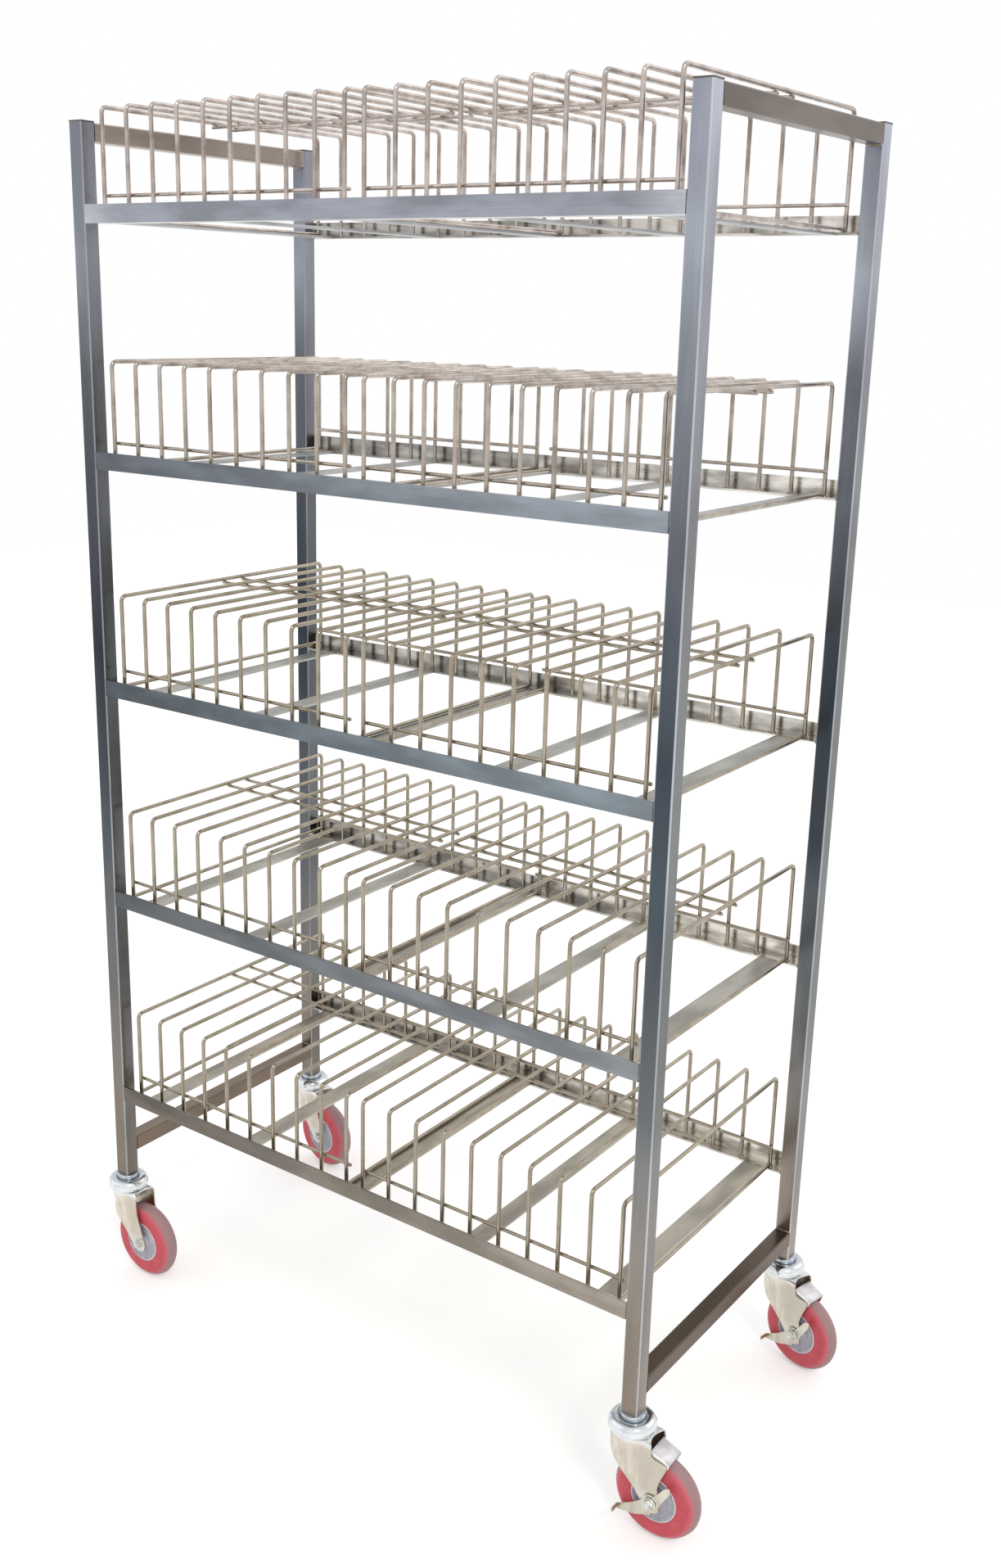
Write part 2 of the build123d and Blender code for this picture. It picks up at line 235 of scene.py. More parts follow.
def brightWire(name, tone):
    # 6 mm stainless wire, drawn and electropolished: a warm, bright metal with long die lines,
    # duller smudges from handling and white highlights on the bends
    material, tree = newMaterial(name)
    across, along = 1000 / tone["drawMm"], 1000 / tone["drawLengthMm"]
    place = addNode(tree, "ShaderNodeTexCoord", {}, {}).outputs["Object"]
    drawn = addNode(tree, "ShaderNodeMapping", {}, {"Vector": place, "Scale": (across, along, along)})
    dieLines = addNode(tree, "ShaderNodeTexNoise", {}, {
        "Vector": drawn.outputs["Vector"], "Scale": 1.0, "Detail": 2.0})
    smudge = addNode(tree, "ShaderNodeTexNoise", {}, {
        "Vector": place, "Scale": 1000 / tone["smudgeMm"], "Detail": 5.0, "Roughness": 0.6})
    both = addNode(tree, "ShaderNodeMath", {"operation": "MULTIPLY_ADD"}, {
        0: dieLines.outputs["Fac"], 1: 0.35, 2: smudge.outputs["Fac"]})
    shine = addNode(tree, "ShaderNodeValToRGB", {"stops": [
        (0.44, linear(tone["dull"])), (0.78, linear(tone["bright"]))]}, {"Fac": both.outputs["Value"]})
    split = addNode(tree, "ShaderNodeSeparateXYZ", {}, {"Vector": place})
    shade, start, end, most = tone["low"]
    colour = toneIn(tree, shine.outputs["Color"], linear(shade), split.outputs["Z"], start, end, most)
    dim, clear = tone["roughness"][1], tone["roughness"][0]
    closeMaterial(tree, colour, (smudge, 0.35, 0.65, dim, clear), (dieLines, 0.15, 0.2), {"Metallic": 1.0})
    return material


dividerWire = brightWire("electropolished_wire", wireFinish)

# materials of the casters; their patterns follow each piece's own "localPlace"
platedParts = {
    "fork": {"light": "#e4ddd0", "dark": "#c2baab", "roughness": (0.22, 0.34), "cloudMm": 22},
    "cover": {"light": "#eceff1", "dark": "#ccd2d7", "roughness": (0.10, 0.18), "cloudMm": 34},
    "brake": {"light": "#c6c3c4", "dark": "#adaaab", "roughness": (0.26, 0.38), "cloudMm": 24},
    "lever": {"light": "#d9d4c6", "dark": "#bdb7a9", "roughness": (0.20, 0.34), "cloudMm": 24},
    "bolt": {"light": "#e2e3df", "dark": "#bcbdb9", "roughness": (0.14, 0.26), "cloudMm": 10},
    "collar": {"light": "#c6cfd7", "dark": "#a5aeb7", "roughness": (0.26, 0.40), "cloudMm": 12},
}
# second tones, painted shade and painted highlights, and wear on the lever: where each is measured, where it
# begins and is full in millimetres, colour, how much
patinas = {
    # fork: painted shade on the nose and on the cheeks behind the crease, a painted highlight low down and on
    # the bend into the crown
    "fork": [("X", -12, -30, "#a5a198", 0.55), ("X", 22, 23, "#c3bcae", 0.7), ("Z", 84, 64, "#dededf", 0.6),
             ("Z", 139, 146, "#eceeef", 0.7)],
    # cover: painted shade deepening inwards across the dish towards the collar
    "cover": [("radius", 30.5, 26.5, "#b9bfc5", 0.6), ("radius", 23.5, 19, "#949ca3", 0.6)],
    # brake shoe: painted highlight on its side edges, painted shadow at its pivot end under the fork's arch
    "brake": [("aside", 16.2, 17.2, "#f2f1f0", 0.85), ("X", 6, -2, "#6f6a6d", 0.6)],
    "lever": [("X", -40, -46, "#9a8464", 0.7)],
}


def zincPlate(name, part):
    # pressed steel with bright zinc plate and a clear passivate: pale metal with a faint cloudy bloom
    # and fine scuffs, and second tones: painted shade and painted highlights, and wear where the lever is
    # trodden on
    tone = platedParts[part]
    material, tree = newMaterial(name)
    place = addNode(tree, "ShaderNodeAttribute", {"attribute_name": "localPlace"}, {}).outputs["Vector"]
    cloudPlace = addNode(tree, "ShaderNodeMapping", {}, {"Vector": place, "Scale": (1.6, 1.0, 0.5)})
    cloud = addNode(tree, "ShaderNodeTexNoise", {}, {
        "Vector": cloudPlace.outputs["Vector"], "Scale": 1000 / tone["cloudMm"], "Detail": 2.0,
        "Roughness": 0.5})
    scuffPlace = addNode(tree, "ShaderNodeMapping", {}, {
        "Vector": place, "Rotation": (0.4, 0.7, 0.2), "Scale": (700, 700, 120)})
    scuff = addNode(tree, "ShaderNodeTexNoise", {}, {
        "Vector": scuffPlace.outputs["Vector"], "Scale": 1.0, "Detail": 2.0})
    both = addNode(tree, "ShaderNodeMath", {"operation": "MULTIPLY_ADD"}, {
        0: scuff.outputs["Fac"], 1: 0.12, 2: cloud.outputs["Fac"]})
    plated = addNode(tree, "ShaderNodeValToRGB", {"stops": [
        (0.34, linear(tone["dark"])), (0.76, linear(tone["light"]))]}, {"Fac": both.outputs["Value"]})
    colour = plated.outputs["Color"]
    for measure, start, end, shade, most in patinas.get(part, []):
        if measure == "radius":
            flat = addNode(tree, "ShaderNodeVectorMath", {"operation": "MULTIPLY"}, {0: place, 1: (1, 1, 0)})
            amount = addNode(tree, "ShaderNodeVectorMath", {"operation": "LENGTH"}, {
                0: flat.outputs["Vector"]}).outputs["Value"]
        else:
            split = addNode(tree, "ShaderNodeSeparateXYZ", {}, {"Vector": place})
            amount = split.outputs["Y" if measure == "aside" else measure]
        if measure == "aside":
            amount = addNode(tree, "ShaderNodeMath", {"operation": "ABSOLUTE"}, {0: amount}).outputs["Value"]
        colour = toneIn(tree, colour, linear(shade), amount, start / 1000, end / 1000, most)
    dim, clear = tone["roughness"][1], tone["roughness"][0]
    closeMaterial(tree, colour, (cloud, 0.35, 0.65, dim, clear), (scuff, 0.12, 0.2), {"Metallic": 1.0})
    return material


forkPlate = zincPlate("zinc_plated_fork", "fork")
coverPlate = zincPlate("bright_zinc_cover", "cover")
brakePlate = zincPlate("nickel_plated_brake", "brake")
leverPlate = zincPlate("zinc_plated_lever", "lever")
boltPlate = zincPlate("zinc_plated_bolt", "bolt")
collarPlate = zincPlate("turned_steel_collar", "collar")

# tread and shoulder come in towards the wheel's mid-plane, the rim away from its axis: colour,
# where it begins and is full in millimetres, how much of it
tyreFinish = {
    "face": "#d2535f",
    "deep": "#bd4450",
    # painted highlight on the shoulder
    "shoulder": ("#e0707f", 16.7, 13.7, 0.55),
    "tread": ("#9c8385", 15.0, 10.0, 0.9),      # floor dust and painted shade
    "waver": 0.004,                             # how far patches shift those lines, in metres
    "grainMm": 1.1,
}
hubFinish = {"light": "#bcbcc6", "dark": "#9a98a5", "rim": ("#e4dfe4", 31.2, 32.5, 0.85), "flowMm": 26}


def castPolyurethane(name, tone):
    # cast red polyurethane: matt, faintly mottled faces, a painted highlight on the shoulder and a tread grey
    # with dust and painted shade
    material, tree = newMaterial(name)
    place = addNode(tree, "ShaderNodeAttribute", {"attribute_name": "localPlace"}, {}).outputs["Vector"]
    split = addNode(tree, "ShaderNodeSeparateXYZ", {}, {"Vector": place})
    mottle = addNode(tree, "ShaderNodeTexNoise", {}, {
        "Vector": place, "Scale": 1000 / tone["grainMm"], "Detail": 2.0, "Roughness": 0.7})
    patch = addNode(tree, "ShaderNodeTexNoise", {}, {
        "Vector": place, "Scale": 60.0, "Detail": 4.0, "Roughness": 0.6})
    faces = addNode(tree, "ShaderNodeValToRGB", {"stops": [
        (0.30, linear(tone["deep"])), (0.68, linear(tone["face"]))]}, {"Fac": mottle.outputs["Fac"]})
    # distance from the wheel's mid-plane, shifted a little by the patches
    aside = addNode(tree, "ShaderNodeMath", {"operation": "ABSOLUTE"}, {0: split.outputs["Y"]})
    wavering = addNode(tree, "ShaderNodeMath", {"operation": "MULTIPLY_ADD"}, {
        0: patch.outputs["Fac"], 1: tone["waver"], 2: aside.outputs["Value"]})
    colour = faces.outputs["Color"]
    for part in ("shoulder", "tread"):
        shade, start, end, most = tone[part]
        colour = toneIn(tree, colour, linear(shade), wavering.outputs["Value"],
                        start / 1000, end / 1000, most)
    closeMaterial(tree, colour, (patch, 0.3, 0.7, 0.42, 0.62), (mottle, 0.35, 0.3), {"IOR": 1.5})
    return material


def mouldedNylon(name, tone):
    # injection-moulded grey nylon: satin, with slow flow marks and a paler rim
    material, tree = newMaterial(name)
    place = addNode(tree, "ShaderNodeAttribute", {"attribute_name": "localPlace"}, {}).outputs["Vector"]
    flow = addNode(tree, "ShaderNodeTexNoise", {}, {
        "Vector": place, "Scale": 1000 / tone["flowMm"], "Detail": 4.0, "Roughness": 0.55, "Distortion": 0.6})
    grain = addNode(tree, "ShaderNodeTexNoise", {}, {"Vector": place, "Scale": 900.0, "Detail": 1.0})
    moulded = addNode(tree, "ShaderNodeValToRGB", {"stops": [
        (0.35, linear(tone["dark"])), (0.62, linear(tone["light"]))]}, {"Fac": flow.outputs["Fac"]})
    flat = addNode(tree, "ShaderNodeVectorMath", {"operation": "MULTIPLY"}, {0: place, 1: (1, 0, 1)})
    radius = addNode(tree, "ShaderNodeVectorMath", {"operation": "LENGTH"}, {0: flat.outputs["Vector"]})
    shade, start, end, most = tone["rim"]
    colour = toneIn(tree, moulded.outputs["Color"], linear(shade), radius.outputs["Value"],
                    start / 1000, end / 1000, most)
    closeMaterial(tree, colour, (flow, 0.3, 0.7, 0.34, 0.5), (grain, 0.12, 0.2), {"IOR": 1.53})
    return material


tyreRed = castPolyurethane("cast_polyurethane_tyre", tyreFinish)
hubGrey = mouldedNylon("moulded_nylon_hub", hubFinish)

weldTones = {"bright": "#b9b4aa", "straw": "#a08a63", "blue": "#6f7683", "rippleMm": 2.3}


def heatTintedWeld(name, tone):
    # TIG weld, wire-brushed but not polished: dull silver ripples with straw and slate heat colours
    material, tree = newMaterial(name)
    place = addNode(tree, "ShaderNodeTexCoord", {}, {}).outputs["Object"]
    heat = addNode(tree, "ShaderNodeTexNoise", {}, {"Vector": place, "Scale": 70.0, "Detail": 3.0})
    soot = addNode(tree, "ShaderNodeTexNoise", {}, {
        "Vector": place, "Scale": 1000 / tone["rippleMm"], "Detail": 3.0})
    colour = addNode(tree, "ShaderNodeValToRGB", {"stops": [
        (0.36, linear(tone["blue"])), (0.46, linear(tone["straw"])), (0.58, linear(tone["bright"]))]}, {
        "Fac": heat.outputs["Fac"]})
    closeMaterial(tree, colour.outputs["Color"], (soot, 0.3, 0.7, 0.3, 0.6), (soot, 0.3, 0.3),
                  {"Metallic": 1.0})
    return material


weldSteel = heatTintedWeld("heat_tinted_weld", weldTones)
print("materials made")

# finishes of the CAD nodes: the first row whose word is in the node's name decides; the last row is
# for the casters' nodes, and new pieces stand for all of those
finishes = (
    ("post_caps", capSteel), ("post_", postSteel), ("end_rail", endRailSteel),
    ("shelf_1_front_rail", topRailSteel), ("front_rail", frontRailSteel), ("back_rail", backRailSteel),
    ("cross_bars", barSteel), ("dividers", dividerWire), ("long_wires", dividerWire),
    ("stem_sockets", postSteel), ("", forkPlate),
)
for node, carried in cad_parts.items():
    carried.data.materials.clear()
    carried.data.materials.append(next(material for word, material in finishes if word in node))
print("frame, rails and wires dressed")


# helpers for modelling, all on bpy.ops; their sizes are millimetres

def emptySelection():
    if bpy.context.object and bpy.context.object.mode != "OBJECT":
        bpy.ops.object.mode_set(mode="OBJECT")
    bpy.ops.object.select_all(action="DESELECT")


def pick(piece):
    emptySelection()
    piece.select_set(True)
    bpy.context.view_layer.objects.active = piece


def editAll():
    bpy.ops.object.mode_set(mode="EDIT")
    bpy.ops.mesh.select_all(action="SELECT")


def drawLine(name, points):
    # a plane merged to one vertex, moved to the first point and extruded to each of the others
    emptySelection()
    bpy.ops.mesh.primitive_plane_add(size=0.002, location=(0, 0, 0))
    piece = bpy.context.object
    piece.name = name
    editAll()
    bpy.ops.mesh.merge(type="CENTER")
    places = [Vector(point) / 1000 for point in points]
    bpy.ops.transform.translate(value=places[0])
    for before, after in zip(places, places[1:]):
        bpy.ops.mesh.extrude_vertices_move(TRANSFORM_OT_translate={"value": after - before})
    return piece


def closeShape():
    bpy.ops.mesh.select_all(action="SELECT")
    bpy.ops.mesh.remove_doubles(threshold=0.00002)
    bpy.ops.mesh.normals_make_consistent(inside=False)
    bpy.ops.object.mode_set(mode="OBJECT")


def spinLine(name, points, axis, steps):
    piece = drawLine(name, points)
    bpy.ops.mesh.select_all(action="SELECT")
    bpy.ops.mesh.spin(steps=steps, angle=2 * math.pi, center=(0, 0, 0), axis=axis)
    closeShape()
    return piece


def cutPlate(name, outline, low, high):
    # a closed outline in X and Z, filled at y = low and extruded to y = high
    piece = drawLine(name, [(x, low, z) for x, z in outline])
    bpy.ops.mesh.select_all(action="SELECT")
    bpy.ops.mesh.edge_face_add()
    bpy.ops.mesh.extrude_region_move(TRANSFORM_OT_translate={"value": (0, (high - low) / 1000, 0)})
    closeShape()
    return piece


def softened(outline, near=0.78, far=0.22):
    # corner cutting, so that a pressed outline has no sharp turns
    cut = []
    for (x1, z1), (x2, z2) in zip(outline, outline[1:] + outline[:1]):
        cut.append((x1 * near + x2 * far, z1 * near + z2 * far))
        cut.append((x1 * far + x2 * near, z1 * far + z2 * near))
    return cut


def useModifier(piece, kind, settings):
    pick(piece)
    modifier = piece.modifiers.new(kind.lower(), kind)
    for name, value in settings.items():
        setattr(modifier, name, value)
    bpy.ops.object.modifier_apply(modifier=modifier.name)


def combine(piece, tool, operation="DIFFERENCE", solver="EXACT"):
    useModifier(piece, "BOOLEAN", {"operation": operation, "solver": solver, "object": tool})
    bpy.data.objects.remove(tool)


def roundEdges(piece, width, segments, angle, shortest=0):
    # edges that turn by more than the angle in degrees
    useModifier(piece, "BEVEL", {
        "width": width / 1000, "segments": segments, "limit_method": "ANGLE",
        "angle_limit": math.radians(angle), "use_clamp_overlap": True})
    pick(piece)
    if shortest:
        # edges shorter than this go, and with them the slivers the bevel leaves
        editAll()
        bpy.ops.mesh.dissolve_degenerate(threshold=shortest / 1000)
        bpy.ops.object.mode_set(mode="OBJECT")
    bpy.ops.object.shade_smooth_by_angle(angle=math.radians(40))


def joined(pieces, name):
    emptySelection()
    for piece in pieces:
        piece.select_set(True)
    bpy.context.view_layer.objects.active = pieces[0]
    bpy.ops.object.join()
    pieces[0].name = name
    return pieces[0]


def addRod(name, radius, start, end, sides):
    # a round bar between two points
    start, end = Vector(start) / 1000, Vector(end) / 1000
    emptySelection()
    bpy.ops.mesh.primitive_cylinder_add(vertices=sides, radius=radius / 1000, depth=(end - start).length,
                                        location=(0, 0, 0))
    rod = bpy.context.object
    rod.name = name
    turn = (end - start).to_track_quat("Z", "Y").to_matrix().to_4x4()
    rod.data.transform(Matrix.Translation((start + end) / 2) @ turn)
    return rod


def keepPlace(piece):
    # the pattern's coordinates stay with the surface when the piece is copied and turned
    piece.data.transform(piece.matrix_world)
    piece.matrix_world = Matrix.Identity(4)
    layer = piece.data.attributes.new("localPlace", "FLOAT_VECTOR", "POINT")
    for vertex, item in zip(piece.data.vertices, layer.data):
        item.vector = vertex.co


def fitCopy(model, name, place, material):
    piece = model.copy()
    piece.data = model.data.copy()
    piece.name = name
    scene.collection.objects.link(piece)
    piece.data.transform(place)
    piece.data.materials.clear()
    piece.data.materials.append(material)
    return piece


# casters: modelled once about the stem, wheel towards +X, then copied to the four posts
casterSet = {
    "front_left": {"post": (-487.5, -226.5), "turn": -0.5, "brake": False},
    "front_right": {"post": (487.5, -226.5), "turn": 1.3, "brake": True},
    "back_left": {"post": (-487.5, 226.5), "turn": -8.5, "brake": False},
    "back_right": {"post": (487.5, 226.5), "turn": -11.8, "brake": True},
}
casterParts = {"trail": 44.0, "wheelRadius": 62.5, "crownTop": 148.0, "sheet": 2.5, "outer": 21.0,
               "pivot": (36.0, 129.0), "clear": 30}    # cutting rods reach this far to both sides
trail = casterParts["trail"]
wheelRadius = casterParts["wheelRadius"]
pivotX, pivotZ = casterParts["pivot"]
clear = casterParts["clear"]


def ringOf(halfProfile):
    # (radius, distance from the mid-plane) of one side, mirrored to the other and closed
    ring = [(r, y, 0) for r, y in halfProfile] + [(r, -y, 0) for r, y in reversed(halfProfile)]
    return ring + ring[:1]


# Each shape's "edge" is the rounding's width in millimetres, its segments and the least turn in degrees.
# tyre: flat faces with a fine bead by the hub, round shoulders, a moulding line round the tread
tyreShape = {"edge": (0.2, 1, 50), "steps": 96, "halfProfile": [
    (33.7, 13.9), (34.3, 14.5), (36.0, 14.6), (36.8, 14.2), (40.5, 14.1), (45.5, 14.2), (48.8, 14.3),
    (51.4, 13.9), (53.9, 12.9), (56.4, 11.3), (58.6, 9.2), (60.4, 6.7), (61.6, 4.0), (62.2, 1.7),
    (62.25, 0.7), (62.5, 0.35)]}
tyreModel = spinLine("tyreModel", ringOf(tyreShape["halfProfile"]), (0, 1, 0), tyreShape["steps"])
roundEdges(tyreModel, *tyreShape["edge"])

# hub: bearing boss, shallow dish with one raised ring, lip against the tyre
hubShape = {"edge": (0.25, 1, 40), "steps": 96, "halfProfile": [
    (6.1, 16.6), (6.9, 17.4), (9.4, 17.4), (9.8, 16.7), (10.6, 16.7), (11.0, 17.2), (12.6, 17.2),
    (13.4, 16.4), (14.2, 14.2), (15.6, 13.4), (20.5, 12.8), (21.2, 13.3), (22.8, 13.3), (23.6, 12.7),
    (27.0, 12.5), (29.2, 13.0), (31.0, 14.3), (32.2, 14.7), (33.4, 14.4), (33.7, 13.6)]}
hubModel = spinLine("hubModel", ringOf(hubShape["halfProfile"]), (0, 1, 0), hubShape["steps"])
roundEdges(hubModel, *hubShape["edge"])

# cover over the ball race: a rolled rim, and a dome that rises from it to the collar
coverShape = {"edge": (0.2, 1, 60), "steps": 72, "profile": [
    (17.9, 164.4), (19.4, 165.0), (21.6, 165.4), (24.0, 165.4), (26.4, 164.9), (28.6, 163.7), (30.4, 161.9),
    (31.8, 159.8), (32.7, 157.4), (33.0, 154.4), (32.8, 151.8), (32.2, 149.9), (31.2, 148.8),
    (30.0, 148.5), (28.6, 148.5), (29.8, 150.2), (30.5, 153.0), (30.5, 156.6), (28.4, 161.0), (25.4, 162.7),
    (22.8, 161.6), (20.4, 159.0), (6.2, 159.0), (6.2, 159.9), (17.2, 159.9), (17.9, 164.4)]}
rim = [(r, 0, z) for r, z in coverShape["profile"]]
coverModel = spinLine("coverModel", rim, (0, 0, 1), coverShape["steps"])
roundEdges(coverModel, *coverShape["edge"])

# kingpin, collar and stem, turned in one piece
stemShape = {"edge": (0.2, 1, 40), "steps": 48, "profile": [
    (0.01, 142.1), (8.6, 142.1), (9.0, 142.5), (9.0, 144.7), (8.6, 145.1), (5.92, 145.1), (5.92, 160.0),
    (16.9, 160.0), (17.5, 160.6), (17.5, 170.7), (17.2, 171.4), (16.4, 171.9), (6.0, 171.9), (6.0, 194.0),
    (5.4, 195.0), (0.01, 195.0)]}
turnedLine = [(r, 0, z) for r, z in stemShape["profile"]]
stemModel = spinLine("stemModel", turnedLine, (0, 0, 1), stemShape["steps"])
roundEdges(stemModel, *stemShape["edge"])
print("tyre, hub, cover and stem turned")

# fork: one sheet wrapped round the front with a crease down each cheek, its top turned in to the
# crown, and cut to a tapering leg on each side; braked forks keep an ear behind the shoe's hole
forkShape = {
    "plan": [(66, 21), (52, 21), (40, 21), (34, 21), (28, 21), (22, 21), (12, 20.2), (2, 19.3), (-6, 18.3),
             (-13, 16.4), (-19, 13.8), (-24, 10.6), (-28, 6.9), (-30.6, 3.2), (-31.6, 0)],
    "levels": [46, 60, 75, 90, 105, 116, 122, 128, 134, 139, 143.4, 145.2, 146.6, 147.5, 147.9],
    "flareStart": 116, "flarePower": 2.2,
    "crownRadius": 31.4,
    "bendStart": 143.4,
    "bend": 4.5,
    "crownPlate": [(6.0, 145.4), (26.6, 145.4), (27.4, 146.2), (27.0, 147.9), (6.0, 147.9), (6.0, 145.4)],
    "crownTail": [(14, 145.4), (44, 145.4), (44, 147.85), (14, 147.85)],
    "tailHalf": 17.4, "tailBore": 20,
    "rearArc": (66.0, 33.0),    # centre and radius of the crown's hollow rear edge
    "front": [(-45, 158), (-38, 140), (-32, 122), (-28.6, 113), (-23, 105), (-14.5, 96.5), (-2, 88),
              (10, 78.6), (20, 69.6), (27, 61), (31, 54), (36, 49.6), (44, 48.2), (51, 50.2), (56, 54.5),
              (58.3, 61), (56.8, 68), (53.6, 76)],
    "rear": [(50.6, 86), (47.4, 96), (44, 105), (41.4, 115), (40.2, 128), (40, 140), (40, 158)],
    "ear": [(51.4, 86), (53.4, 95), (57.4, 106), (61.4, 115), (63.4, 121), (62.6, 124.6), (54, 126.8),
            (43, 128.6), (40.4, 130), (40, 140), (40, 158)],
    "axleBore": 4.2, "pivotBore": 2.4, "edge": (0.4, 2, 38),
}


def pressed(x, y, z):
    # the sheet leans out to the crown's round edge as it rises, then turns in to the crown
    top, start, bendStart = casterParts["crownTop"], forkShape["flareStart"], forkShape["bendStart"]
    rise = max(0.0, (z - start) / (top - start))
    reach = math.hypot(x, y)
    if 0.1 < reach < forkShape["crownRadius"]:
        grow = 1 + (forkShape["crownRadius"] / reach - 1) * rise ** forkShape["flarePower"]
        x, y = x * grow, y * grow
    turn = min(1.0, max(0.0, (z - bendStart) / (top - bendStart)))
    inwards = forkShape["bend"] * (1 - math.sqrt(1 - turn ** 2))
    reach = math.hypot(min(x, 0), y)
    return (x - inwards * min(x, 0) / reach, y - inwards * y / reach) if reach > 0.1 else (x, y)


plan = forkShape["plan"] + [(x, -y) for x, y in reversed(forkShape["plan"][:-1])]
plainFork = drawLine("plainFork", [(x, y, forkShape["levels"][0]) for x, y in plan])
for before, after in zip(forkShape["levels"], forkShape["levels"][1:]):
    bpy.ops.object.mode_set(mode="OBJECT")
    for vertex in plainFork.data.vertices:
        vertex.select = abs(vertex.co.z - before / 1000) < 0.0001
    bpy.ops.object.mode_set(mode="EDIT")
    bpy.ops.mesh.select_mode(type="VERT")
    bpy.ops.mesh.extrude_region_move(TRANSFORM_OT_translate={"value": (0, 0, (after - before) / 1000)})
bpy.ops.object.mode_set(mode="OBJECT")
for vertex in plainFork.data.vertices:
    x, y, z = vertex.co * 1000
    x, y = pressed(x, y, z)
    vertex.co = Vector((x, y, z)) / 1000
editAll()
bpy.ops.mesh.normals_make_consistent(inside=False)
bpy.ops.object.mode_set(mode="OBJECT")
useModifier(plainFork, "SOLIDIFY", {
    "thickness": casterParts["sheet"] / 1000, "offset": -1.0, "use_even_offset": True})

# crown plate, open behind
crown = spinLine("crown", [(r, 0, z) for r, z in forkShape["crownPlate"]], (0, 0, 1), 48)
crownTail = cutPlate("crownTail", forkShape["crownTail"], -forkShape["tailHalf"], forkShape["tailHalf"])
combine(crownTail, addRod("crownBore", forkShape["tailBore"], (0, 0, 140), (0, 0, 155), 48))
combine(plainFork, crown, "UNION", "MANIFOLD")
combine(plainFork, crownTail, "UNION", "MANIFOLD")
arcCentre, arcRadius = forkShape["rearArc"]
combine(plainFork, addRod("rearArc", arcRadius, (arcCentre, 0, 139), (arcCentre, 0, 160), 64))
combine(plainFork, addRod("axleBore", forkShape["axleBore"], (trail, -clear, wheelRadius),
                          (trail, clear, wheelRadius), 32))
brakedFork = fitCopy(plainFork, "brakedFork", Matrix.Identity(4), forkPlate)
for part, rear in ((plainFork, "rear"), (brakedFork, "ear")):
    sideCutter = cutPlate("sideCutter", softened(forkShape["front"] + forkShape[rear]), -45, 45)
    combine(part, sideCutter, "INTERSECT")
combine(brakedFork, addRod("pivotBore", forkShape["pivotBore"], (pivotX, -clear, pivotZ),
                           (pivotX, clear, pivotZ), 20))
for part in (plainFork, brakedFork):
    roundEdges(part, *forkShape["edge"])
print("forks pressed")

# bolt, nut with a washer, and the sleeve that the wheel runs on. Washer and shank are (radius, how
# far out from the seat), the others (radius, distance from the wheel's mid-plane).
axleShape = {
    "acrossFlats": 13.0, "head": (0.05, 5.3), "nut": (1.3, 6.5),
    "chamfer": [(0.01, -0.2), (6.2, -0.2), (7.9, 0.9)],    # how far in from a hexagon's end
    "washer": [(4.1, 1.3), (8.2, 1.3), (8.6, 1.0), (8.6, 0), (4.1, 0), (4.1, 1.3)],
    "shank": [(0.01, 8.5), (3.1, 8.5), (4.0, 7.6)], "shankRadius": 4.0,
    "sleeve": [(4.1, -18.45), (6.0, -18.45), (6.0, 18.45), (4.1, 18.45), (4.1, -18.45)],
    "edge": (0.25, 2, 30, 0.02), "spacer": 3.2,            # the lever sits under the braked side's nut
}


def hexagonBar(name, low, high):
    emptySelection()
    bpy.ops.mesh.primitive_cylinder_add(
        vertices=6, radius=axleShape["acrossFlats"] / 2000 / math.cos(math.pi / 6), depth=(high - low) / 1000,
        location=(0, 0, 0))
    bar = bpy.context.object
    bar.name = name
    bar.data.transform(Matrix.Translation((0, (low + high) / 2000, 0)) @ Matrix.Rotation(math.pi / 2, 4, "X"))
    ends = [(r, low + inwards, 0) for r, inwards in axleShape["chamfer"]]
    ends += [(r, high - inwards, 0) for r, inwards in reversed(axleShape["chamfer"])]
    combine(bar, spinLine("chamfers", ends, (0, 1, 0), 36), "INTERSECT")
    return bar


def axleSet(name, seat):
    # seat is how far out the washer's inner face is, on the -Y side
    outer = casterParts["outer"]
    (headIn, headOut), (nutIn, nutOut) = axleShape["head"], axleShape["nut"]
    shank = [(r, -seat - out, 0) for r, out in axleShape["shank"]]
    shank += [(axleShape["shankRadius"], outer + 1, 0), (0.01, outer + 1, 0)]
    parts = [
        hexagonBar("head", outer + headIn, outer + headOut),
        hexagonBar("nut", -seat - nutOut, -seat - nutIn),
        spinLine("washer", [(r, -seat - out, 0) for r, out in axleShape["washer"]], (0, 1, 0), 40),
        spinLine("shank", shank, (0, 1, 0), 32),
        spinLine("sleeve", [(r, y, 0) for r, y in axleShape["sleeve"]], (0, 1, 0), 32),
    ]
    piece = joined(parts, name)
    roundEdges(piece, *axleShape["edge"])
    return piece


plainAxle = axleSet("plainAxle", casterParts["outer"])
brakedAxle = axleSet("brakedAxle", casterParts["outer"] + axleShape["spacer"])

# brake lever: boss, wing with its tip folded out for a foot, and an arm up to the shoe
leverShape = {
    "face": -21.6, "back": -23.6,
    "wing": [(-2, 12), (-9, 4), (-18, -5), (-29, -13), (-40, -19.6), (-50.5, -25.2), (-50.5, -31), (-40, -31),
             (-29, -29.4), (-19, -26.6), (-8, -21.4), (4, -18)],
    "arm": [(-8, -14.8), (2, -14.4), (9.6, -11.8), (13.6, -7.4), (12, -1), (15.6, 6), (21, 15), (28, 26),
            (28.6, 32.6), (23.6, 35), (17.6, 29.4), (11.4, 20), (4, 11)],
    "fold": [(-50.5, -31), (-50.5, -25.3), (-48.5, -24.4), (-48.5, -30.6)], "foldDepth": 11.0,
    "boss": 12.0, "bore": 4.1, "edge": (0.5, 2, 34),
}
face, back = leverShape["face"], leverShape["back"]
